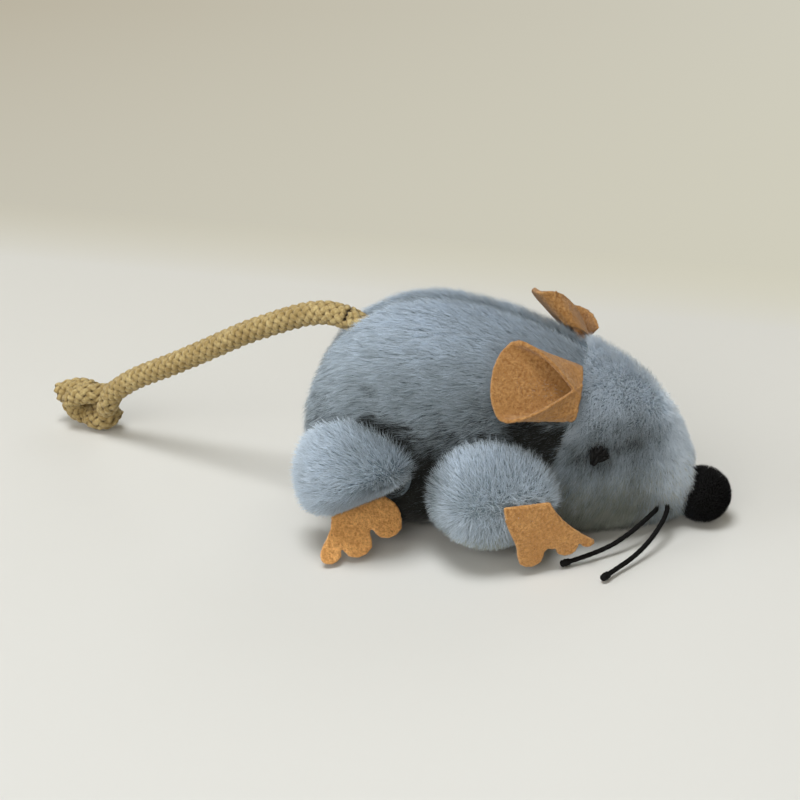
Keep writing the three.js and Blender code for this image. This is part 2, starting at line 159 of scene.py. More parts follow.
def evaluatedMesh(piece):
    graph = bpy.context.evaluated_depsgraph_get()
    return bpy.data.meshes.new_from_object(piece.evaluated_get(graph), depsgraph=graph)


def finished(piece, body, nodes=()):
    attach(piece, body)
    if nodes:
        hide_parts(*nodes)
    return piece


# Materials. A node's inputs take plain values, colours or other nodes' outputs
def feed(tree, socket, value):
    if isinstance(value, tuple) and socket.type == "RGBA":
        socket.default_value = (*value, 1)
    elif isinstance(value, (int, float, str, tuple)):
        socket.default_value = value
    else:
        tree.links.new(value, socket)


def node(tree, kind, inputs=(), **settings):
    made = tree.nodes.new(kind)
    for label, value in settings.items():
        setattr(made, label, value)
    for label, value in dict(inputs).items():
        feed(tree, made.inputs[label], value)
    return made


def newMaterial(name, roughness, sheen, shine):
    material = bpy.data.materials.new(name)
    material.use_nodes = True
    shader = material.node_tree.nodes["Principled BSDF"]
    for label, value in (("Roughness", roughness), ("Sheen Weight", sheen), ("Specular IOR Level", shine)):
        shader.inputs[label].default_value = value
    return material, material.node_tree, shader


def mixed(tree, factor, first, second, blend="MIX"):
    inputs = {0: factor, 6: first, 7: second}
    return node(tree, "ShaderNodeMix", inputs, data_type="RGBA", blend_type=blend).outputs[2]


def mathNode(tree, operation, *values):
    return node(tree, "ShaderNodeMath", dict(enumerate(values)), operation=operation).outputs[0]


# From the 0 to 255 of a picture to light
def linear(r, g, b):
    return tuple(((c / 255 + 0.055) / 1.055) ** 2.4 if c > 10 else c / 255 / 12.92 for c in (r, g, b))


def grey(value):
    return (value, value, value)


def noise(tree, scale, detail=2.0, rough=0.5):
    place = node(tree, "ShaderNodeTexCoord").outputs["Object"]
    inputs = {"Vector": place, "Scale": scale, "Detail": detail, "Roughness": rough}
    return node(tree, "ShaderNodeTexNoise", inputs).outputs["Fac"]


def ramp(tree, value, low, high):
    inputs = {"Value": value, "From Min": low, "From Max": high}
    return node(tree, "ShaderNodeMapRange", inputs).outputs["Result"]


def attribute(tree, name):
    return node(tree, "ShaderNodeAttribute", attribute_name=name).outputs["Fac"]


def painted(tree, shader, colour, height, strength, distance):
    relief = node(tree, "ShaderNodeBump", {"Height": height, "Strength": strength, "Distance": distance})
    feed(tree, shader.inputs["Normal"], relief.outputs["Normal"])
    feed(tree, shader.inputs["Base Color"], colour)


def blendSurface(tree, factor, first, second):
    blend = node(tree, "ShaderNodeMixShader", {0: factor, 1: first, 2: second})
    feed(tree, tree.nodes["Material Output"].inputs["Surface"], blend.outputs[0])


# Light passes through thin fibres, so part of their shading is translucent
def pileMaterial(name, coat):
    material, tree, shader = newMaterial(name, coat["rough"], coat["sheen"], coat["shine"])
    tone = attribute(tree, "tone")
    # The lowest tones blend into the deep colour, which is painted shade
    outOfHollow = ramp(tree, tone, 0.0, 0.3)
    strand = mixed(tree, ramp(tree, tone, 0.3, 1.0), coat["dark"], coat["light"])
    strand = mixed(tree, outOfHollow, coat["deep"], strand)
    root = mixed(tree, outOfHollow, coat["deep"], coat["root"])
    # Towards the root the colour is painted darker, as painted shade deep in the pile
    grown = mixed(tree, ramp(tree, attribute(tree, "along"), 0.0, 0.75), root, strand)
    warmed = mixed(tree, 1.0, grown, coat["warm"], "MULTIPLY")
    grown = mixed(tree, attribute(tree, "tint"), grown, warmed)
    feed(tree, shader.inputs["Base Color"], grown)
    through = node(tree, "ShaderNodeBsdfTranslucent", {"Color": grown})
    blendSurface(tree, coat["glow"], shader.outputs[0], through.outputs[0])
    return material


def clothMaterial(name, dark, light, scale, roughness=0.95):
    material, tree, shader = newMaterial(name, roughness, 0.0, 0.1)
    fine = noise(tree, scale, 4.0, 0.6)
    painted(tree, shader, mixed(tree, ramp(tree, fine, 0.35, 0.65), dark, light), fine, 0.5, 0.0002)
    return material


# Camera, worked out from the photograph
view = {
    "sensor": 36, "focalPixels": 1725, "picturePixels": 800, "place": [2.0, -407.5, 204.7],
    "heading": (-0.0722, 0.9177, -0.3907),
}
camera = bpy.data.cameras.new("camera")
camera.sensor_width = view["sensor"]
camera.lens = view["sensor"] * view["focalPixels"] / view["picturePixels"]
camera.clip_start = 0.01
cameraObject = newObject("camera", camera)
cameraObject.location = Vector(inFrame(view["place"]))
cameraObject.rotation_euler = Vector(view["heading"]).to_track_quat("-Z", "Y").to_euler()
scene.camera = cameraObject
print("camera placed")


# Faces between closed rings of points
def ringFaces(rings, sides):
    faces = []
    for i in range(rings - 1):
        for k in range(sides):
            a, b = i * sides + k, i * sides + (k + 1) % sides
            faces.append((a, b, b + sides, a + sides))
    return faces


def tubeFaces(rings, sides):
    ends = [tuple(reversed(range(sides))), tuple(range((rings - 1) * sides, rings * sides))]
    return ringFaces(rings, sides) + ends


def roundAngles(count):
    return np.linspace(0, 2 * math.pi, count, endpoint=False)


# Cords: smooth lines through a route's points
def alongLine(line):
    return np.concatenate([[0], np.cumsum(np.linalg.norm(np.diff(line, axis=0), axis=1))])


def smoothLine(route, count):
    route = np.array(route, float)
    padded = np.vstack([2 * route[0] - route[1], route, 2 * route[-1] - route[-2]])
    spans = len(route) - 1
    line = []
    for s in np.linspace(0, spans, count * 4):
        i = min(int(s), spans - 1)
        t = s - i
        p0, p1, p2, p3 = padded[i:i + 4]
        line.append(0.5 * (2 * p1 + (p2 - p0) * t + (2 * p0 - 5 * p1 + 4 * p2 - p3) * t ** 2
                           + (3 * p1 - p0 - 3 * p2 + p3) * t ** 3))
    line = np.array(line)
    reach = alongLine(line)
    even = np.linspace(0, reach[-1], count)
    return np.stack([np.interp(even, reach, line[:, k]) for k in range(3)], axis=1), reach[-1]


def carriedFrames(line):
    ahead = unitRows(np.gradient(line, axis=0))
    side = np.cross(ahead[0], [0, 0, 1])
    if np.linalg.norm(side) < 1e-6:
        side = np.cross(ahead[0], [0, 1, 0])
    side /= np.linalg.norm(side)
    sides, ups = [], []
    for a in ahead:
        side = side - a * (side @ a)
        side /= np.linalg.norm(side)
        sides.append(side)
        ups.append(np.cross(side, a))
    return ahead, np.array(sides), np.array(ups)


def tubeAround(line, radius, sides):
    ahead, side, up = carriedFrames(line)
    radius = np.broadcast_to(radius, len(line))
    points = []
    for i, centre in enumerate(line):
        for angle in roundAngles(sides):
            points.append(centre + radius[i] * (side[i] * math.cos(angle) + up[i] * math.sin(angle)))
    return points, tubeFaces(len(line), sides)


def joined(parts):
    points, faces = [], []
    for morePoints, moreFaces in parts:
        start = len(points)
        points.extend(morePoints)
        faces.extend(tuple(i + start for i in face) for face in moreFaces)
    return points, faces


rope = {
    "thickness": 6.5, "strandsEachWay": 6, "pitch": 17.0, "ring": 2.3, "lift": 0.36, "core": 2.2,
    "strandWide": 0.92, "strandThick": 0.62, "strandSides": 8, "coreSides": 12, "turn": 0.4, "least": 0.0,
    "dark": linear(143, 120, 73), "light": linear(200, 181, 131), "gap": linear(74, 56, 26),
    "yarnScale": 900.0, "patchScale": 120.0, "gapSpan": (0.66, 0.92),
}
ropeRoute = [
    [-43.2, 0.2, 53.3], [-48.5, 2.9, 53.5], [-54, 5.9, 52], [-60, 9.2, 49.2], [-66, 12.4, 46],
    [-72, 15.6, 42.7], [-78, 18.8, 38.9], [-84, 22, 35], [-90, 25.2, 31.2], [-96, 28.4, 27.5],
    [-101.6, 31.4, 24.2], [-106.4, 34, 21.3], [-110.6, 36.2, 18.3], [-114, 38, 15.4], [-116.6, 39.5, 12.5],
]
rootRoute = [[-30.6, -1.4, 45], [-34.6, -1.1, 48.2], [-38.8, -0.6, 51], [-43.2, 0.2, 53.3]]


def flatStrand(centres, outward, braid):
    ahead = unitRows(np.gradient(centres, axis=0))
    outward = unitRows(outward - ahead * (outward * ahead).sum(axis=1)[:, None])
    across = np.cross(outward, ahead)
    angles = roundAngles(braid["strandSides"])
    points = (centres[:, None] + braid["strandWide"] * np.cos(angles)[:, None] * across[:, None]
              + braid["strandThick"] * np.sin(angles)[:, None] * outward[:, None]).reshape(-1, 3)
    return points, tubeFaces(len(centres), braid["strandSides"])


# The braid: strands wind both ways around the rope and pass over and under each other
def braidStrands(line, braid):
    ahead, side, up = carriedFrames(line)
    reach = alongLine(line)
    parts = []
    pairs = braid["strandsEachWay"]
    for way in (1, -1):
        for k in range(pairs):
            turn = braid["turn"] + way * 2 * math.pi * reach / braid["pitch"] + 2 * math.pi * k / pairs
            beat = way * np.cos(pairs * 2 * math.pi * reach / braid["pitch"])
            outward = side * np.cos(turn)[:, None] + up * np.sin(turn)[:, None]
            centres = line + (braid["ring"] + braid["lift"] * beat)[:, None] * outward
            parts.append(flatStrand(centres, outward, braid))
    return parts


def ropeMaterial():
    material, tree, shader = newMaterial("cotton_rope", 0.85, 0.15, 0.2)
    yarn = noise(tree, rope["yarnScale"], 3.0, 0.6)
    patches = ramp(tree, noise(tree, rope["patchScale"]), 0.3, 0.9)
    # The spaces between strands, near the rope's middle, are painted in a shade colour
    gaps = ramp(tree, attribute(tree, "high"), *rope["gapSpan"])
    tone = mixed(tree, ramp(tree, yarn, 0.3, 0.7), rope["dark"], rope["light"])
    tone = mixed(tree, patches, tone, rope["dark"])
    painted(tree, shader, mixed(tree, gaps, rope["gap"], tone), yarn, 0.6, 0.0003)
    return material


cotton = ropeMaterial()


# A braid knows how far out each of its points lies, from which the spaces between its strands get a painted
# shade. Batches keep this small
def braidPiece(name, body, lines, braid, batches=40):
    parts = []
    for line in lines:
        parts += [tubeAround(line, braid["core"], braid["coreSides"])] + braidStrands(line, braid)
    points, faces = joined(parts)
    points = lifted(np.array(points), fibreClear)
    middle = np.vstack(lines)
    some = np.array_split(points, batches)
    out = [np.linalg.norm(batch[:, None] - middle, axis=2).min(axis=1) for batch in some]
    piece = meshPiece(f"{name}_braid", inFrame(points), faces, cotton)
    high = np.concatenate(out) / (braid["ring"] + braid["lift"] + braid["strandThick"])
    high = np.maximum(high, braid["least"])
    setValues(piece.data, "high", high)
    return finished(piece, body, [name])


# The root is wound from its free end, so that its strands meet those of the tail
ropeLine, ropeLength = smoothLine(ropeRoute, 150)
tailRope = braidPiece("tail_rope", "tail", [ropeLine], rope)
rootLine = smoothLine(rootRoute, 40)[0]
braidPiece("tail_root", "torso", [rootLine[::-1]], dict(rope, turn=-rope["turn"]))

# The overhand knot: its strands are given as along the rope, up and away from the viewer's side.
# Their ends would take the painted shade of the spaces between strands, so "least" keeps them lighter
knotBraid = dict(rope, ring=2.15, core=2.1, least=0.73)
knot = {
    "centre": np.array([-121.4, 42.2, 8.0]), "along": np.array([-0.876, 0.482, 0]),
    "away": np.array([0.482, 0.876, 0]),
    "strands": {
        "drop": [[-6.2, 4.8, 0.1], [-5.2, 2.8, -0.2], [-3.4, 0.6, 1], [-0.8, -0.6, 3], [2, -0.4, 4.5]],
        "lower": [[-2.2, -1.6, 5], [-2, -3.7, 2.6], [0.2, -4.4, 1.4], [2.6, -4.5, 1.4], [5, -4.2, 2.6],
                  [5.4, -3.4, 4.6]],
        "wrap": [[-1.6, 3.6, 3.4], [1.4, 4, 0], [4.8, 3.3, -1], [7.8, 1.5, -1.2], [8.6, -1, -0.6],
                 [7.4, -3.6, 1], [5, -4.3, 3.4]],
        "end": [[4, 3.4, 3], [8, 3.3, 3], [11.4, 2.4, 2.4], [13.6, 1.4, 1.4], [15, 0.8, 0.6]],
    },
}


def knotPlace(p):
    return knot["centre"] + knot["along"] * p[0] + np.array([0, 0, 1.0]) * p[1] + knot["away"] * p[2]


knotLines = [smoothLine([knotPlace(p) for p in strand], 44)[0] for strand in knot["strands"].values()]
tailKnot = braidPiece("tail_knot", "tail", knotLines, knotBraid)

whisker = {
    "thickness": 1.3, "twist": 0.05, "ply": 3.2, "sides": 10, "clear": 0.1,
    "knot": 1.0, "knotHalf": 1.5, "knotSides": 12,
}
whiskerRoutes = {
    "rear": [
        [36.3, -9.2, 7.6], [36, -10.7, 7.5], [34.9, -12.2, 7.1], [33.5, -13.9, 6.5], [31.8, -15.7, 5.7],
        [29.9, -17.6, 4.8], [27.8, -19.5, 4], [25.5, -21.4, 3.2], [23, -23.2, 2.6], [20.5, -24.9, 2.2],
        [18, -26.5, 1.9], [15.6, -28, 1.7], [13.2, -29.4, 1.5],
    ],
    "front": [
        [39.1, -7.8, 7.4], [39, -9.6, 7.4], [38.6, -11.6, 7.1], [37.9, -13.8, 6.6], [36.9, -16.1, 5.9],
        [35.6, -18.5, 5], [34.1, -21, 4.1], [32.4, -23.5, 3.3], [30.5, -26, 2.6], [28.5, -28.5, 2.1],
        [26.5, -31, 1.9], [24.6, -33.4, 1.7], [22.8, -35.6, 1.5],
    ],
}


def whiskerMaterial():
    material, tree, shader = newMaterial("waxed_black_cord", 0.75, 0.0, 0.12)
    fibre = noise(tree, 2500.0, 3.0)
    painted(tree, shader, mixed(tree, fibre, grey(0.002), (0.008, 0.007, 0.007)), fibre, 0.4, 0.0001)
    return material


blackCord = whiskerMaterial()


def whiskerTube(line):
    twist = whisker["twist"] * (1 + np.sin(alongLine(line) * whisker["ply"]))
    return tubeAround(line, whisker["thickness"] / 2 * (1 - twist), whisker["sides"])


def whiskerKnot(name, centre, heading):
    heading = unit(heading)
    half = whisker["knotHalf"]
    line = np.array([centre + heading * s for s in np.linspace(-half, half, 13)])
    s = np.linspace(-1, 1, 13)
    swell = whisker["knot"] * np.sqrt(np.clip(1 - s ** 4, 0.02, 1)) * (0.92 + 0.08 * np.cos(9 * s))
    points, faces = tubeAround(line, swell, whisker["knotSides"])
    return meshPiece(name, inFrame(lifted(np.array(points), whisker["clear"])), faces, blackCord)


for side, flip in bothSides:
    for place, route in whiskerRoutes.items():
        route = flip(route)
        line, length = smoothLine(route, 70)
        points, faces = whiskerTube(line)
        piece = meshPiece(f"whisker_{place}_{side}_cord", inFrame(points), faces, blackCord)
        finished(piece, "torso", [f"whisker_{place}_{side}"])
        end = whiskerKnot(f"whisker_{place}_{side}_end", route[-1], route[-1] - route[-2])
        finished(end, "torso", [f"whisker_knot_{place}_{side}"])
print("cords laid")


# Outlines of the stuffed forms
torso = {
    "rump": -53.2, "widest": -20, "front": 26, "halfWidth": 25.4, "top": 60.2, "middle": 25, "bottom": -0.5,
    "round": 2.1, "topFall": 0.0256, "sideFall": 0.0104, "bottomRise": 0.0016, "rise": 1.7,
}
head = {
    "back": 0, "tip": 45.9, "neckTop": 52.5, "halfWidth": 22.5, "snoutTop": 11.5, "snoutHalfWidth": 4.6,
    "middle": 24, "snoutMiddle": 8.6, "bottom": -0.5, "snoutBottom": 3.4,
    "crown": 0.55, "cheek": 1.3, "jowl": 0.8, "behindNeck": 6,
}
neck = {"point": np.array([15.0, 0, 40]), "normal": unit([0.951, 0, -0.309])}
limbs = {
    "arm": {
        "centre": [-6.5, -22, 17], "outward": [0.42, -0.9, 0.12], "seam": [0.9, 0.42, -0.05], "radius": 14.4,
        "length": 14, "seamHalf": 9.5, "seatNormal": [0.02, -0.97, -0.25], "seatDepth": 15.94,
    },
    "leg": {
        "centre": [-38.2, -18.9, 19.4], "outward": [0.395, -0.328, -0.858], "seam": [0.839, 0.509, 0.192],
        "radius": 16, "length": 7.1, "seamHalf": 11.5, "seatNormal": [-0.26, -0.93, -0.25],
        "seatDepth": 22.89, "parting": [-29.6, -27.7, 20.9],
    },
}
backSeam = {"depth": 2.4, "reach": 2.1, "fade": (1, 15, 30)}
skinInset = 1.3  # from the solid's surface to the backing that the pile grows on
floorClear = 0.9
# Points along and around the skins, and the angle at which a rear end starts
skinGrid = {"torsoRear": 34, "torsoFore": 30, "head": 60, "round": 144, "limb": 60, "limbRound": 72}
endAngle = {"torso": 0.02, "limb": 0.04}


def torsoSection(x, inset):
    t = torso
    rear = np.clip((t["widest"] - x) / (t["widest"] - t["rump"] - inset), 0, 1)
    f = (1 - rear ** t["round"]) ** (1 / t["round"])
    d = np.clip(x - t["widest"], 0, None) ** t["rise"]
    half = (t["halfWidth"] - inset) * f - t["sideFall"] * d
    rise = (t["top"] - inset - t["middle"]) * f - t["topFall"] * d
    drop = (t["middle"] - t["bottom"] - inset) * f - t["bottomRise"] * d
    return half, np.full_like(x, t["middle"]), rise, drop, np.ones_like(x)


def headSection(x, inset):
    h = head
    u = np.clip((x - h["back"]) / (h["tip"] - h["back"]), -0.2, 1)
    bulge = np.clip(1 - u * u, 0, None)
    middle = h["snoutMiddle"] + (h["middle"] - h["snoutMiddle"]) * bulge
    top = h["snoutTop"] + (h["neckTop"] - h["snoutTop"]) * bulge ** h["crown"]
    bottom = h["bottom"] + (h["snoutBottom"] - h["bottom"]) * np.clip(u, 0, 1) ** 6
    half = h["snoutHalfWidth"] + (h["halfWidth"] - h["snoutHalfWidth"]) * bulge ** h["cheek"] - inset
    return half, middle, top - inset - middle, middle - bottom - inset, np.full_like(x, h["jowl"])


def sectionPoints(section, x, angle):
    half, middle, rise, drop, jowl = section
    c, s = np.cos(angle), np.sin(angle)
    side = np.where(s > 0, c, np.sign(c) * np.abs(c) ** jowl)
    return np.stack([x, half * side, middle + np.where(s > 0, rise, drop) * s], axis=-1)


def seatDirection(limb, flip):
    return unit(flip(limb["seatNormal"]))


def pressedFlat(points, normal, depth):
    beyond = np.clip(points @ normal - depth, 0, None)
    return points - beyond[:, None] * normal


# The limbs press the body flat at their seats, and so does the floor below
def seated(points):
    for limb in limbs.values():
        for side, flip in bothSides:
            points = pressedFlat(points, seatDirection(limb, flip), limb["seatDepth"] - skinInset)
    return lifted(points, floorClear)


def ringSkin(stations, section):
    x = np.repeat(stations, skinGrid["round"])
    angles = np.tile(roundAngles(skinGrid["round"]), len(stations))
    return sectionPoints(section(x, skinInset), x, angles), ringFaces(len(stations), skinGrid["round"])


def torsoSkin():
    rear = torso["widest"] - torso["rump"] - skinInset
    turns = np.linspace(endAngle["torso"], math.pi / 2, skinGrid["torsoRear"])
    back = torso["widest"] - rear * np.cos(turns)
    fore = np.linspace(torso["widest"], torso["front"], skinGrid["torsoFore"])[1:]
    points, faces = ringSkin(np.concatenate([back, fore]), torsoSection)
    upper = slope(points[:, 2], *backSeam["fade"])
    dip = band(points[:, 1], backSeam["depth"], 0, backSeam["reach"]) * upper
    outward = points - [torso["widest"], 0, torso["middle"]]
    outward[:, 1] = 0
    outward[:, 0] = np.minimum(outward[:, 0], 0)
    return seated(points - dip[:, None] * unitRows(outward, 1e-9)), faces


def headSkin():
    start, tip = -head["behindNeck"], head["tip"] - skinInset
    stations = start + (tip - start) * np.sin(np.linspace(0, math.pi / 2, skinGrid["head"]))
    points, faces = ringSkin(stations, headSection)
    return seated(points), faces


def limbFrame(limb, flip):
    out, seam = unit(flip(limb["outward"])), flip(limb["seam"])
    along = unit(seam - out * (seam @ out))
    return flip(limb["centre"]), out, along, np.cross(out, along)


# A limb is round at its rear and narrows to the straight end seam in front
def limbSkin(limb, flip):
    centre, out, along, across = limbFrame(limb, flip)
    radius, length = limb["radius"] - skinInset, limb["length"] - skinInset * 0.6
    seamHalf = limb["seamHalf"] - skinInset
    t = np.sin(np.linspace(-math.pi / 2 + endAngle["limb"], math.pi / 2, skinGrid["limb"]))
    ball = radius * np.sqrt(np.clip(1 - t * t, 0, 1))
    rear = t < 0
    wide = np.where(rear, ball, seamHalf + (radius - seamHalf) * np.sqrt(np.clip(1 - t ** 4, 0, 1)))
    thick = np.where(rear, ball, np.maximum(0.5, ball))
    reach = np.where(rear, radius * t, length * t)
    angles = roundAngles(skinGrid["limbRound"])
    points = (centre + reach[:, None, None] * out + (wide[:, None] * np.cos(angles))[..., None] * along
              + (thick[:, None] * np.sin(angles))[..., None] * across).reshape(-1, 3)
    points = pressedFlat(points, -seatDirection(limb, flip), -(limb["seatDepth"] + 0.5))
    return lifted(points, floorClear), ringFaces(len(t), skinGrid["limbRound"])


# A cover's backing is cut and closed. Its cut faces stay bare
def backing(name, body, nodes, points, faces, cuts=()):
    mesh = newMesh(name, inFrame(points), faces)
    bm = bmesh.new()
    bm.from_mesh(mesh)
    bmesh.ops.remove_doubles(bm, verts=bm.verts, dist=1e-6)
    for place, normal in cuts:
        bmesh.ops.bisect_plane(bm, geom=bm.verts[:] + bm.edges[:] + bm.faces[:], dist=1e-7,
                               plane_co=inFrame(place), plane_no=normal, clear_outer=True)
    lids = bmesh.ops.holes_fill(bm, edges=[e for e in bm.edges if e.is_boundary], sides=0)["faces"]
    bmesh.ops.recalc_face_normals(bm, faces=bm.faces)
    bm.faces.index_update()
    lidIndices = {f.index for f in lids}
    bm.to_mesh(mesh)
    bm.free()
    mesh.update()
    bare = np.zeros(len(mesh.polygons), bool)
    bare[list(lidIndices)] = True
    mesh.polygons.foreach_set("use_smooth", ~bare)
    setMaterial(mesh, plushBase)
    mesh.attributes.new("bare", "BOOLEAN", "FACE").data.foreach_set("value", bare)
    return finished(newObject(name, mesh), body, nodes), fromFrame(meshPoints(mesh))


# The lie and length of a skin's pile, and its tone and warmth, which carry painted light and shade
def setComb(piece, comb, pile, shade=0.65, warm=0.0):
    piece.data.attributes.new("comb", "FLOAT_VECTOR", "POINT").data.foreach_set("vector", comb.ravel())
    for label, values in (("pile", pile), ("shade", shade), ("warm", warm)):
        setValues(piece.data, label, np.broadcast_to(values, len(comb)).astype(np.float32))


# One pile fibre is a thin bent ribbon that narrows to its tip
def fibre(name, places, width):
    rows = [np.array([x, 0, z]) for x, z in places]
    points, along, faces = [], [], []
    for i, row in enumerate(rows[:-1]):
        for s in (-0.5, 0.5):
            points.append(row + [0, s * width * (0.8 if i == 0 else 1 - 0.25 * (i - 1)), 0])
            along.append(i / (len(rows) - 1))
        if i:
            faces.append((2 * i - 2, 2 * i - 1, 2 * i + 1, 2 * i))
    points.append(rows[-1])
    along.append(1)
    faces.append((len(points) - 3, len(points) - 2, len(points) - 1))
    mesh = newMesh(name, points, faces)
    setSmooth(mesh)
    setValues(mesh, "along", along)
    return bpy.data.objects.new(name, mesh)


# Fibres of a set differ a little in how far they lean over, and all start just below the skin
def fibreSet(name, lean, width, bends):
    group = bpy.data.collections.new(name)
    scene.collection.children.link(group)
    for k, extra in enumerate((-0.16, -0.05, 0.05, 0.16)):
        tilt = lean + extra
        places = [(0, -0.04)]
        for s in np.linspace(0, 1, bends + 1)[1:]:
            places.append((tilt * (0.85 * s + 0.17 * s * s), s * (1 - 0.3 * s) * (1.2 - 0.72 * tilt) / 0.86))
        group.objects.link(fibre(f"{name}_{k}", places, width))
    return group


# How the fibres of a coat differ
growth = {
    "length": (0.72, 1.12), "clumpScale": 260.0, "lift": 0.35, "wide": (70.0, 0.5), "fine": (420.0, 0.9),
    "each": 0.2,
}


def pileTree():
    tree = bpy.data.node_groups.new("pile", "GeometryNodeTree")
    sockets = {
        "Skin": "Geometry", "Fibres": "Collection", "Density": "Float", "Length": "Float", "Width": "Float",
        "Sway": "Float", "Clump": "Float", "Seed": "Int", "Finish": "Material",
    }
    for label, kind in sockets.items():
        tree.interface.new_socket(label, in_out="INPUT", socket_type=f"NodeSocket{kind}")
    tree.interface.new_socket("Pile", in_out="OUTPUT", socket_type="NodeSocketGeometry")
    source = node(tree, "NodeGroupInput").outputs
    place = node(tree, "GeometryNodeInputPosition").outputs[0]

    def maths(operation, *values):
        return mathNode(tree, operation, *values)

    def vectors(operation, first, second):
        inputs = {0: first, "Scale" if operation == "SCALE" else 1: second}
        return node(tree, "ShaderNodeVectorMath", inputs, operation=operation).outputs[0]

    def named(label, kind="FLOAT"):
        made = node(tree, "GeometryNodeInputNamedAttribute", {"Name": label}, data_type=kind)
        return made.outputs["Attribute"]

    def texture(output, scale, detail=1.0):
        inputs = {"Vector": place, "Scale": scale, "Detail": detail}
        return node(tree, "ShaderNodeTexNoise", inputs).outputs[output]

    def spotted(scale, amount, detail=1.0):
        return maths("MULTIPLY_ADD", texture("Fac", scale, detail), amount, -amount / 2)

    # The sockets of a chance come in pairs, by kind
    def chance(low, high, seed, kind="FLOAT"):
        rank = ("FLOAT_VECTOR", "FLOAT", "INT").index(kind)
        inputs = {2 * rank: low, 2 * rank + 1: high, "Seed": seed}
        return node(tree, "FunctionNodeRandomValue", inputs, data_type=kind).outputs[rank]

    def store(geometry, label, value):
        inputs = {"Geometry": geometry, "Name": label, "Value": value}
        made = node(tree, "GeometryNodeStoreNamedAttribute", inputs, data_type="FLOAT", domain="INSTANCE")
        return made.outputs[0]

    planted = maths("MINIMUM", maths("MULTIPLY", named("pile"), 4.0), 1.0)
    hairy = node(tree, "FunctionNodeBooleanMath", {0: named("bare", "BOOLEAN")}, operation="NOT").outputs[0]
    spread = node(tree, "GeometryNodeDistributePointsOnFaces", {
        "Mesh": source["Skin"], "Selection": hairy, "Seed": source["Seed"],
        "Density": maths("MULTIPLY", source["Density"], planted),
    })
    clump = vectors("SUBTRACT", texture("Color", growth["clumpScale"], 2.0), (0.5, 0.5, 0.5))
    clump = vectors("SCALE", clump, source["Clump"])
    sway = vectors("SCALE", chance((-1, -1, -1), (1, 1, 1), 3, "FLOAT_VECTOR"), source["Sway"])
    lift = vectors("SCALE", sway, maths("ADD", source["Sway"], growth["lift"]))
    turn = node(tree, "FunctionNodeAxesToRotation", {
        "Primary Axis": vectors("ADD", spread.outputs["Normal"], lift),
        "Secondary Axis": vectors("ADD", vectors("ADD", named("comb", "FLOAT_VECTOR"), clump), sway),
    }, primary_axis="Z", secondary_axis="X")
    fibres = node(tree, "GeometryNodeCollectionInfo", {
        "Collection": source["Fibres"], "Separate Children": True, "Reset Children": True,
    })
    size = maths("MULTIPLY", named("pile"), chance(*growth["length"], 5))
    size = maths("MULTIPLY", source["Length"], size)
    width = maths("MULTIPLY", source["Length"], source["Width"])
    plant = node(tree, "GeometryNodeInstanceOnPoints", {
        "Points": spread.outputs["Points"], "Instance": fibres.outputs[0], "Pick Instance": True,
        "Instance Index": chance(0, 3, 9, "INT"), "Rotation": turn.outputs[0],
        "Scale": node(tree, "ShaderNodeCombineXYZ", {0: size, 1: width, 2: size}).outputs[0],
    })
    wide = spotted(*growth["wide"])
    fine = spotted(*growth["fine"], 2.0)
    each = chance(-growth["each"], growth["each"], 11)
    tone = maths("ADD", maths("ADD", wide, fine), maths("ADD", each, named("shade")))
    tone = maths("MINIMUM", maths("MAXIMUM", tone, 0.0), 1.0)
    toned = store(plant.outputs[0], "tone", tone)
    tinted = store(toned, "tint", maths("LESS_THAN", chance(0.0, 1.0, 13), named("warm")))
    real = node(tree, "GeometryNodeRealizeInstances", {0: tinted})
    inputs = {"Geometry": real.outputs[0], "Material": source["Finish"]}
    node(tree, "NodeGroupOutput", {"Pile": node(tree, "GeometryNodeSetMaterial", inputs).outputs[0]})
    return tree


pileNodes = pileTree()


# The fibres become real faces. Their baked layer holds tone across, and along upwards for each tint
def growPile(skin, name, body, coat, seed):
    modifier = skin.modifiers.new("pile", "NODES")
    modifier.node_group = pileNodes
    thin = 1.0
    inputs = {
        "Fibres": coat["fibres"], "Density": coat["density"] * 1e6 * thin, "Length": coat["length"] * mm,
        "Width": thin ** -0.5, "Sway": coat["sway"], "Clump": coat["clump"], "Seed": seed,
        "Finish": coat["material"],
    }
    for item in pileNodes.interface.items_tree:
        if item.in_out == "INPUT" and item.name in inputs:
            modifier[item.identifier] = inputs[item.name]
    skin.update_tag()
    bpy.context.view_layer.update()
    mesh = evaluatedMesh(skin)
    skin.modifiers.clear()
    mesh.name = name
    setPoints(mesh, lifted(meshPoints(mesh), fibreClear * mm))
    tone, along, tint = (read(mesh.attributes[k].data, "value", 1) for k in ("tone", "along", "tint"))
    corners = np.empty(len(mesh.loops), int)
    mesh.loops.foreach_get("vertex_index", corners)
    places = np.hstack([0.02 + 0.96 * tone, 0.02 + 0.46 * along + 0.5 * tint])[corners]
    mesh.uv_layers.new(name="OFBake").uv.foreach_set("vector", places.ravel().astype(np.float32))
    print(name, len(mesh.polygons), "faces")
    return finished(newObject(name, mesh), body)


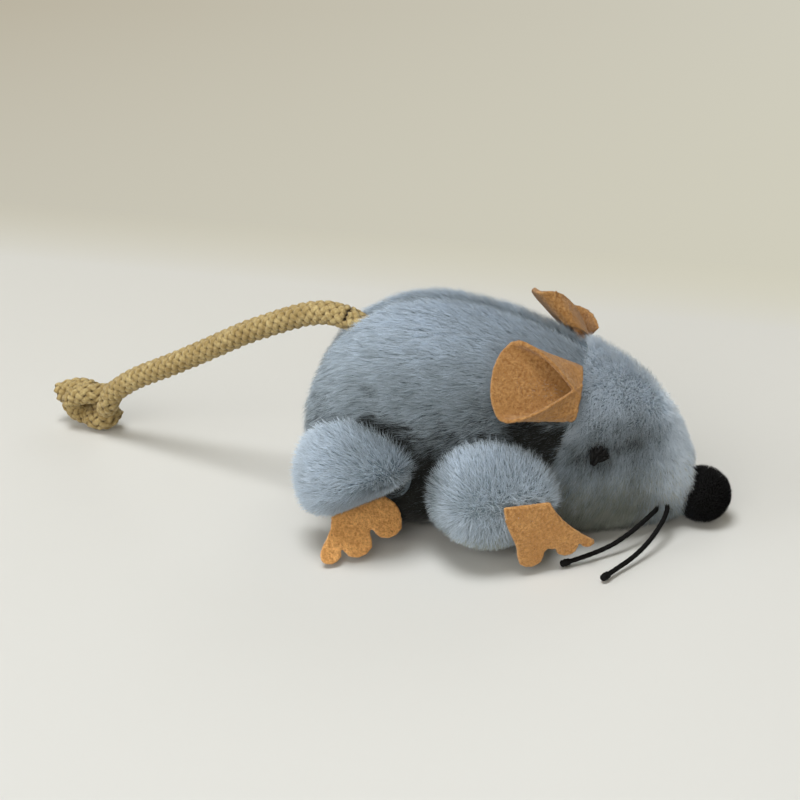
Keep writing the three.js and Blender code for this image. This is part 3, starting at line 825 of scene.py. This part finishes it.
# The head's pile is a lighter copy of the body's, painted lighter against the shade between its upright
# fibres, and it stands more upright
plush = {
    "deep": linear(34, 37, 34), "dark": linear(164, 176, 184), "light": linear(221, 233, 245),
    "root": linear(152, 166, 176), "warm": (0.84, 0.79, 0.66), "rough": 0.7, "sheen": 0.4, "shine": 0.2,
    "glow": 0.45, "width": 0.03, "length": 4.6, "density": 12.5, "limbDensity": 10.0,
}
paintedLighterPlush = dict(plush, light=linear(236, 243, 250), root=linear(206, 217, 226), glow=0.55)
plushBase = clothMaterial("plush_backing", linear(120, 134, 144), linear(146, 160, 170), 900.0)
plushPile = pileMaterial("plush_pile", plush)
headPile = pileMaterial("head_pile", paintedLighterPlush)
bodyCoat = {
    "fibres": fibreSet("body_fibres", 0.8, plush["width"], 2), "material": plushPile,
    "density": plush["density"], "length": plush["length"], "sway": 0.22, "clump": 1.5,
}
bellyCoat = dict(bodyCoat, density=plush["density"] * 0.5)
headCoat = dict(bodyCoat, fibres=fibreSet("head_fibres", 0.64, plush["width"], 2), material=headPile,
                density=plush["density"] * 1.3, sway=0.24)
limbCoat = dict(bodyCoat, fibres=fibreSet("limb_fibres", 0.6, plush["width"], 3),
                density=plush["limbDensity"], sway=0.4, clump=1.1)


def nearNeck(points):
    return np.abs((points - neck["point"]) @ neck["normal"])


# Pile is pressed short at the neck seam and where it lies on the floor
def shortened(points):
    return 1 - band(nearNeck(points), 0.3, 0, 2.0), np.where(points[:, 2] < 2.0, 0.45, 1.0)


# Painted shade: little light reaches the hollows around the limbs, below the ear and under the belly, so the
# pile there is painted darker
hollows = [
    ([-34, -22, 34], 1.8), ([-30, -23.5, 31], 3.2), ([-26, -24.5, 27], 4.6), ([-21.5, -23, 20], 7.5),
    ([-20, -20, 10], 13.0), ([3.5, -22.4, 32.5], 4.0), ([10.8, -21.2, 30.9], 4.0), ([9, -20.5, 24], 5.5),
]


def hollowness(p):
    p = p * [1, 0, 1] - np.abs(p) * [0, 1, 0]
    deepest = np.zeros(len(p))
    for place, reach in hollows:
        deepest = np.maximum(deepest, np.exp(-(np.linalg.norm(p - place, axis=1) / reach) ** 2))
    return np.maximum(deepest, np.minimum(slope(p[:, 2], 1, 9, -1), 0.8))


# An amount that grows along x and along z together
def corner(x, z, alongX, alongZ):
    return slope(x, *alongX) * slope(z, *alongZ)


# Below a height the pile is warmer, from the light that the floor throws back
def warmth(z, most, start, end):
    return np.minimum(slope(z, 1, start, end), most)


# Torso: two sides and a belly panel. An amount comes with the place or the span that it belongs to
gusset = {"middle": -20, "halfLength": 23, "halfWidth": 13.5, "top": 9}
torsoLook = {
    "seamAbove": 24, "seamPart": (1, 0, 2.4), "seamShort": (0.65, 0.8, 2.2),
    "rumpFall": ((0.6, -32, -50), (1, 50, 35)), "rumpLong": (0.3, 31, 7), "rumpFrom": (1, -45, -51),
    "shade": 0.53, "hollowShade": 0.55, "seamShadow": (0.6, 1.2, 1.5), "seamHighlight": (0.3, -2.8, 1.6),
    "top": (0.42, 42, 56), "rump": ((0.2, -40, -48), (1, 46, 36)), "flankShade": ((1, -44, -34), (0.37, 44, 30)),
    "warm": (0.95, 22, 9),
}
torsoPoints, torsoFaces = torsoSkin()
torsoFaces = np.array(torsoFaces)


def inGusset(p):
    x, y, z = p.T
    u = (x - gusset["middle"]) / gusset["halfLength"]
    return (z < gusset["top"]) & (np.abs(u) < 1) & (np.abs(y) < gusset["halfWidth"] * (1 - u ** 2))


def torsoPart(name, chosen, node, seed, coat, side=0):
    look = torsoLook
    used, compact = np.unique(torsoFaces[chosen], return_inverse=True)
    faces = compact.reshape(-1, 4).tolist()
    cuts = [(neck["point"], neck["normal"])]
    skin, p = backing(f"{name}_backing", "torso", [node], torsoPoints[used], faces, cuts)
    x, y, z = p.T
    upper = z > look["seamAbove"]
    comb = np.tile([-1.0, 0, -0.05], (len(p), 1))
    comb[:, 2] -= corner(x, z, *look["rumpFall"])
    comb[:, 1] += side * band(y, *look["seamPart"]) * upper
    pile = 1 - band(y, *look["seamShort"]) * upper
    for share in shortened(p):
        pile *= share
    pile *= 1 + band(z, *look["rumpLong"]) * slope(x, *look["rumpFrom"])
    # Painted light and shade: the pile is painted darker in the hollows, with a painted shadow line along
    # the back seam and a painted highlight beside it. It is painted lighter towards the top, and darker at
    # the rear below the back and low on the sides
    shade = look["shade"] - look["hollowShade"] * hollowness(p) - band(y, *look["seamShadow"]) * upper
    shade += band(y, *look["seamHighlight"]) * upper + slope(z, *look["top"])
    shade -= corner(x, z, *look["rump"])
    shade -= corner(x, z, *look["flankShade"])
    setComb(skin, comb, pile, shade, warmth(z, *look["warm"]))
    growPile(skin, f"{name}_pile", "torso", coat, seed)


faceMiddles = torsoPoints[torsoFaces].mean(axis=1)
bellyFaces = inGusset(faceMiddles)
rightFaces = ~bellyFaces & (faceMiddles[:, 1] < 0)
leftFaces = ~bellyFaces & (faceMiddles[:, 1] >= 0)
torsoPart("torso_right", rightFaces, "torso_side_right", 1, bodyCoat, -1)
torsoPart("torso_left", leftFaces, "torso_side_left", 2, bodyCoat, 1)
torsoPart("belly", bellyFaces, "belly_panel", 3, bellyCoat)
print("torso dressed")

# Head. The stitches of the eye hold the pile down
eye = {"x": 20.4, "height": 26.0, "side": 18.6, "reach": 2.6, "facing": [0.42, -0.9, 0.12]}
headLook = {
    "comb": [-0.75, 0, -0.62], "crownComb": (0.45, 18, 43), "snoutComb": [0.45, 0, -0.85],
    "snoutFrom": (1, 33, 42), "eyeShort": 0.75, "snoutShort": 0.35,
    "shade": 0.16, "crown": (1.04, 28, 39), "cheek": (0.3, 27, 20), "chin": (0.1, 16, 6), "hollowShade": 0.15,
    "snout": ((0.5, 31, 38), (1, 8, 14)), "neck": (0.45, 0, 3.5), "middle": (0.3, 0, 6),
    "warm": (0.95, 22, 9),
}


def headPart():
    look = headLook
    points, faces = headSkin()
    cuts = [(neck["point"], -neck["normal"])]
    skin, p = backing("head_backing", "torso", ["head_cover"], points, faces, cuts)
    x, y, z = p.T
    comb = np.tile(look["comb"], (len(p), 1))
    comb[:, 2] += slope(z, *look["crownComb"])
    snout = slope(x, *look["snoutFrom"])[:, None]
    comb = comb * (1 - snout) + np.array(look["snoutComb"]) * snout
    fromEye = np.linalg.norm(np.abs(p) - [eye["x"], eye["side"], eye["height"]], axis=1)
    short, pressed = shortened(p)
    pile = short * (1 - look["eyeShort"] * np.exp(-(fromEye / eye["reach"]) ** 4))
    pile *= 1 - look["snoutShort"] * snout[:, 0]
    pile *= pressed
    # Painted light and shade: the pile is darkest at mid height and is painted lighter towards the crown,
    # lower on the cheek and on the snout, with painted highlights along the neck seam and near the middle
    # line. It is painted darker at the bottom of the jaw and in the hollows
    shade = look["shade"] + slope(z, *look["crown"]) + slope(z, *look["cheek"]) - slope(z, *look["chin"])
    shade += corner(x, z, *look["snout"])
    shade += band(nearNeck(p), *look["neck"]) * (z > 18)
    shade += band(y, *look["middle"]) * (z > 8) - look["hollowShade"] * hollowness(p) * (z > 12)
    setComb(skin, comb, pile, shade, warmth(z, *look["warm"]) * np.clip((38 - x) / 8, 0.2, 1))
    growPile(skin, "head_pile", "torso", headCoat, 4)


headPart()
print("head dressed")

# Arms and legs: the arm's pile spreads around its end seam and the leg's from a place on its side
limbLook = {
    "bareWithin": 0.9, "tip": 4, "tipShort": 0.35, "underShort": 0.6, "armFlatter": 0.75, "armInward": 0.75,
    "armTip": 0.85, "legTip": 0.9, "shade": 0.85, "seat": (0.95, 0, 1.7), "low": (0.3, 6, -1),
    "legRearLight": (1, -34, -42), "armTopLight": (0.25, 18, 26), "armRearShade": (0.7, -13, -18),
    "armWarm": (0.8, 13, 3),
}


def limbPart(name, side, flip, seed):
    look, limb = limbLook, limbs[name]
    points, faces = limbSkin(limb, flip)
    body = f"{name}_{side}"
    skin, place = backing(f"{body}_backing", body, [f"{name}_cover_{side}"], points, faces)
    centre, out, along, across = limbFrame(limb, flip)
    x, y, z = place.T
    p = place - centre
    nearTip = np.clip(1 - np.abs(p @ out - limb["length"]) / look["tip"], 0, 1)
    fromSeat = place @ seatDirection(limb, flip) - (limb["seatDepth"] + look["bareWithin"])
    pile = np.where(fromSeat < 0, 0.0, 1.0)
    pile *= 1 - look["tipShort"] * nearTip
    pile *= 1 - look["underShort"] * np.clip(-meshNormals(skin.data)[:, 2] - 0.2, 0, 0.8)
    # Painted shade in the crease where the limb meets the body, and towards the floor
    shade = look["shade"] - band(fromSeat, *look["seat"]) - slope(z, *look["low"])
    if name == "leg":
        comb = unitRows(place - flip(limb["parting"]), 1e-6) + look["legTip"] * nearTip[:, None] * out
        # Painted light: the leg's rear is painted lighter
        shade += slope(x, *look["legRearLight"]) * (1 - shade)
        warm = 0.0
    else:
        comb = p - (p @ out)[:, None] * out
        comb -= look["armFlatter"] * (p @ along)[:, None] * along
        comb = unitRows(comb, 1e-6) - look["armInward"] * out
        comb *= (1 - look["armTip"] * nearTip)[:, None]
        # Painted light and shade: the arm is painted lighter on top and darker at its rear
        shade += slope(z, *look["armTopLight"]) - slope(x, *look["armRearShade"])
        warm = warmth(z, *look["armWarm"])
    setComb(skin, comb, pile, shade, warm)
    growPile(skin, f"{body}_pile", body, limbCoat, seed)


for firstSeed, (side, flip) in zip((10, 15), bothSides):
    for k, name in enumerate(limbs):
        limbPart(name, side, flip, firstSeed + k)
print("limbs dressed")

# Nose: a dense black pompom
pompom = {
    "centre": [48.6, 0, 7.5], "radius": 6.6, "clear": 0.5, "swirl": [0.3, 0.9, 0.3], "swirlAmount": 100,
    "deep": grey(0.001), "dark": grey(0.002), "light": (0.016, 0.016, 0.018), "root": grey(0.001),
    "warm": grey(1.0), "rough": 0.8, "sheen": 0.05, "shine": 0.1, "glow": 0.1,
}
noseCoat = {
    "fibres": fibreSet("nose_fibres", 0.25, 0.09, 3), "material": pileMaterial("pompom_pile", pompom),
    "density": 22.0, "length": 1.3, "sway": 0.35, "clump": 0.4,
}
bm = bmesh.new()
bmesh.ops.create_icosphere(bm, subdivisions=4, radius=pompom["radius"] * mm)
mesh = bpy.data.meshes.new("nose_core")
bm.to_mesh(mesh)
bm.free()
setPoints(mesh, lifted(meshPoints(mesh) + inFrame(pompom["centre"]), pompom["clear"] * mm))
setSmooth(mesh)
setMaterial(mesh, clothMaterial("pompom_core", grey(0.002), grey(0.006), 1500.0))
mesh.attributes.new("bare", "BOOLEAN", "FACE")
noseCore = newObject("nose_core", mesh)
finished(noseCore, "torso", ["nose_pompom"])
away = meshPoints(mesh) - inFrame(pompom["centre"])
setComb(noseCore, np.cross(away, pompom["swirl"]) * pompom["swirlAmount"], 1.0)
growPile(noseCore, "nose_pile", "torso", noseCoat, 21)
print("nose dressed")

# Felt: the ears, hands and feet are thick felt with soft edges and a slightly uneven face
felt = {
    "dark": linear(158, 106, 54), "light": linear(216, 166, 104), "patch": linear(178, 126, 68),
    "speck": linear(128, 84, 42), "voxel": 0.3, "softening": 0.6, "rounds": 5, "uneven": 0.035,
}


def feltMaterial(name, lift):
    material, tree, shader = newMaterial(name, 0.95, 0.25, 0.15)
    wide = noise(tree, 160.0, 3.0)
    fine = noise(tree, 1300.0, 4.0, 0.75)
    specks = noise(tree, 900.0)
    tone = mixed(tree, ramp(tree, fine, 0.36, 0.64), felt["dark"], felt["light"])
    tone = mixed(tree, ramp(tree, wide, 0.35, 0.9), tone, felt["patch"])
    tone = mixed(tree, ramp(tree, specks, 0.69, 0.78), tone, felt["speck"])
    # The tone is multiplied by a painted light level: below one for painted shade, above one for painted
    # light
    painted(tree, shader, mixed(tree, 1.0, tone, grey(lift), "MULTIPLY"), fine, 1.0, 0.0006)
    return material


def feltPiece(name, seed, material):
    mesh = frame["nodes"][name].data.copy()
    mesh.name = f"{name}_felt"
    piece = newObject(f"{name}_felt", mesh)
    remesh = piece.modifiers.new("remesh", "REMESH")
    remesh.mode = "VOXEL"
    remesh.voxel_size = felt["voxel"] * mm
    smooth = piece.modifiers.new("smooth", "SMOOTH")
    smooth.factor = felt["softening"]
    smooth.iterations = felt["rounds"]
    made = evaluatedMesh(piece)
    piece.modifiers.clear()
    piece.data = made
    setMaterial(made, material)
    setSmooth(made)
    uneven = np.random.RandomState(seed).normal(0, felt["uneven"] * mm, len(made.vertices))
    setPoints(made, meshPoints(made) + meshNormals(made) * uneven[:, None])
    return finished(piece, name, [name])


# One felt, painted darker on the ears for the shade in their cups, and painted lighter on the hands and feet
# where they sit in shade
feltKinds = {
    "ear": (31, feltMaterial("ear_felt", 0.8)),
    "hand": (33, feltMaterial("hand_felt", 1.15)),
    "foot": (35, feltMaterial("foot_felt", 1.42)),
}
for k, (side, flip) in enumerate(bothSides):
    for kind, (firstSeed, material) in feltKinds.items():
        feltPiece(f"{kind}_{side}", firstSeed + k, material)
print("felt made")

# Eyes: black satin stitches laid over the pile, each given as across, up, length and turn
stitches = [
    (-2.0, -0.2, 4.6, 88), (-1.3, 0.1, 5.0, 80), (-0.6, -0.1, 4.4, 95), (0.0, 0.1, 4.0, 70),
    (0.6, -0.4, 3.4, 20), (0.9, 0.6, 3.0, 30), (1.2, -0.9, 3.4, 0), (0.4, -1.3, 3.6, 12),
    (0.6, 0.1, 3.8, -10), (-0.4, 1.2, 2.6, 45), (-1.2, -1.2, 3.0, 60),
]
stitch = {"thick": 0.5, "lift": 1.0, "pileUp": 0.06, "bow": 0.8}


def eyePiece(flip):
    half, middle, rise = (v[0] for v in headSection(np.array([eye["x"]]), 0)[:3])
    y = -half * math.sqrt(1 - ((eye["height"] - middle) / rise) ** 2)
    centre = np.array([eye["x"], y, eye["height"]])
    outward = unit(eye["facing"])
    across = unit(np.cross([0, 0, 1], outward))
    upward = np.cross(outward, across)
    s = np.linspace(-1, 1, 11)
    parts = []
    for k, (u, v, long, turn) in enumerate(stitches):
        angle = math.radians(turn)
        lie = across * math.cos(angle) + upward * math.sin(angle)
        start = centre + across * u + upward * v
        out = stitch["lift"] + stitch["pileUp"] * k - stitch["bow"] * s ** 2
        line = start + lie * long / 2 * s[:, None] + outward * out[:, None]
        parts.append(tubeAround(line, stitch["thick"] * np.sqrt(np.clip(1 - s ** 6, 0.05, 1)), 8))
    points, faces = joined(parts)
    return flip(points), faces


threadBlack = clothMaterial("black_thread", grey(0.002), grey(0.012), 2500.0, 0.6)
for side, flip in bothSides:
    points, faces = eyePiece(flip)
    if side == "left":
        faces = [tuple(reversed(f)) for f in faces]
    piece = meshPiece(f"eye_{side}_stitches", inFrame(points), faces, threadBlack)
    finished(piece, "torso", [f"eye_{side}"])
print("eyes stitched")

# Stuffing: a copy of each fill, drawn in so that it stays clear of the covers' dips and seats
fleece = clothMaterial("stuffing_fibre", linear(226, 224, 216), linear(244, 242, 236), 500.0)
stuffing = {"share": 0.93, "seatClear": 2.4}


def stuffingPiece(name, body, limb=None, flip=None):
    mesh = frame["nodes"][name].data.copy()
    points = meshPoints(mesh)
    middle = (points.min(axis=0) + points.max(axis=0)) / 2
    points = middle + (points - middle) * stuffing["share"]
    if limb:
        depth = -(limb["seatDepth"] + stuffing["seatClear"])
        points = inFrame(pressedFlat(fromFrame(points), -seatDirection(limb, flip), depth))
    setPoints(mesh, points)
    setMaterial(mesh, fleece)
    finished(newObject(f"{name}_fibre", mesh), body, [name])


stuffingPiece("torso_stuffing", "torso")
stuffingPiece("head_stuffing", "torso")
for side, flip in bothSides:
    for name, limb in limbs.items():
        stuffingPiece(f"{name}_stuffing_{side}", f"{name}_{side}", limb, flip)

# The cords' runs through the snout keep their solids, in the black of the whiskers
for name, piece in frame["nodes"].items():
    if "thread" in name:
        setMaterial(piece.data, blackCord)

for coat in (bodyCoat, headCoat, limbCoat, noseCoat):
    for item in list(coat["fibres"].objects):
        bpy.data.objects.remove(item)
    bpy.data.collections.remove(coat["fibres"])


# Floor and light: a pale sheet that gives way to a warmer backdrop
stage = {
    "edge": 0.195, "edgeSlope": 0.2, "soft": 0.034, "eyeBehind": 0.45, "across": (-0.3, 0.145),
    "sheet": (-0.12, 0.2), "back": (0.22, 0.72), "halfSize": 3.0,
    "sheetNear": linear(211, 211, 208), "sheetFar": linear(205, 204, 199),
    "nearLeft": linear(200, 196, 181), "nearRight": linear(208, 205, 188),
    "farLeft": linear(187, 180, 162), "farRight": linear(206, 203, 188),
}


# The backdrop is seen at its plain colours, whatever light falls on it
def floorPiece():
    material, tree, shader = newMaterial("paper_floor", 0.9, 0.0, 0.1)
    place = node(tree, "ShaderNodeSeparateXYZ", {0: node(tree, "ShaderNodeTexCoord").outputs["Object"]})
    x, y = place.outputs["X"], place.outputs["Y"]
    edge = mathNode(tree, "ADD", y, mathNode(tree, "MULTIPLY", x, stage["edgeSlope"]))
    far = ramp(tree, edge, stage["edge"] - stage["soft"], stage["edge"] + stage["soft"])
    across = mathNode(tree, "DIVIDE", x, mathNode(tree, "ADD", y, stage["eyeBehind"]))
    across = ramp(tree, across, *stage["across"])
    near = mixed(tree, across, stage["nearLeft"], stage["nearRight"])
    back = mixed(tree, across, stage["farLeft"], stage["farRight"])
    back = mixed(tree, ramp(tree, y, *stage["back"]), near, back)
    sheet = mixed(tree, ramp(tree, y, *stage["sheet"]), stage["sheetNear"], stage["sheetFar"])
    feed(tree, shader.inputs["Base Color"], mixed(tree, far, sheet, back))
    glow = node(tree, "ShaderNodeEmission", {"Strength": 1.0, "Color": back})
    seen = node(tree, "ShaderNodeLightPath").outputs["Is Camera Ray"]
    blendSurface(tree, mathNode(tree, "MULTIPLY", far, seen), shader.outputs[0], glow.outputs[0])
    size = stage["halfSize"]
    corners = [(-size, -size, 0), (size, -size, 0), (size, size, 0), (-size, size, 0)]
    return meshPiece("floor", corners, [(0, 1, 2, 3)], material)


floorPiece()

skyWhite = (0.965, 0.985, 1.0)
lampWhite = (1.0, 0.98, 0.94)
lamps = {
    "overhead": {"place": (-0.3, -0.3, 1.9), "aimed": 0.02, "size": 0.95, "power": 28, "colour": skyWhite},
    "left": {"place": (-2.6, -1.0, 1.35), "aimed": 0.03, "size": 1.7, "power": 23, "colour": skyWhite},
    "front": {"place": (-0.8, -2.3, 1.2), "aimed": 0.03, "size": 1.7, "power": 32, "colour": lampWhite},
    "behind": {"place": (0.7, 1.9, 1.3), "aimed": 0.03, "size": 1.2, "power": 8, "colour": (0.97, 0.99, 1)},
}
for name, settings in lamps.items():
    lamp = bpy.data.lights.new(name, "AREA")
    lamp.shape = "DISK"
    lamp.size = settings["size"]
    lamp.energy = settings["power"]
    lamp.color = settings["colour"]
    holder = newObject(name, lamp)
    holder.location = settings["place"]
    aim = Vector((0, 0, settings["aimed"])) - Vector(settings["place"])
    holder.rotation_euler = aim.to_track_quat("-Z", "Y").to_euler()
world = bpy.data.worlds.new("studio")
world.use_nodes = True
background = world.node_tree.nodes["Background"].inputs
background["Color"].default_value = (1.0, 0.87, 0.6, 1)
background["Strength"].default_value = 0.17
scene.world = world
scene.view_settings.view_transform = "Standard"
print("stage lit")
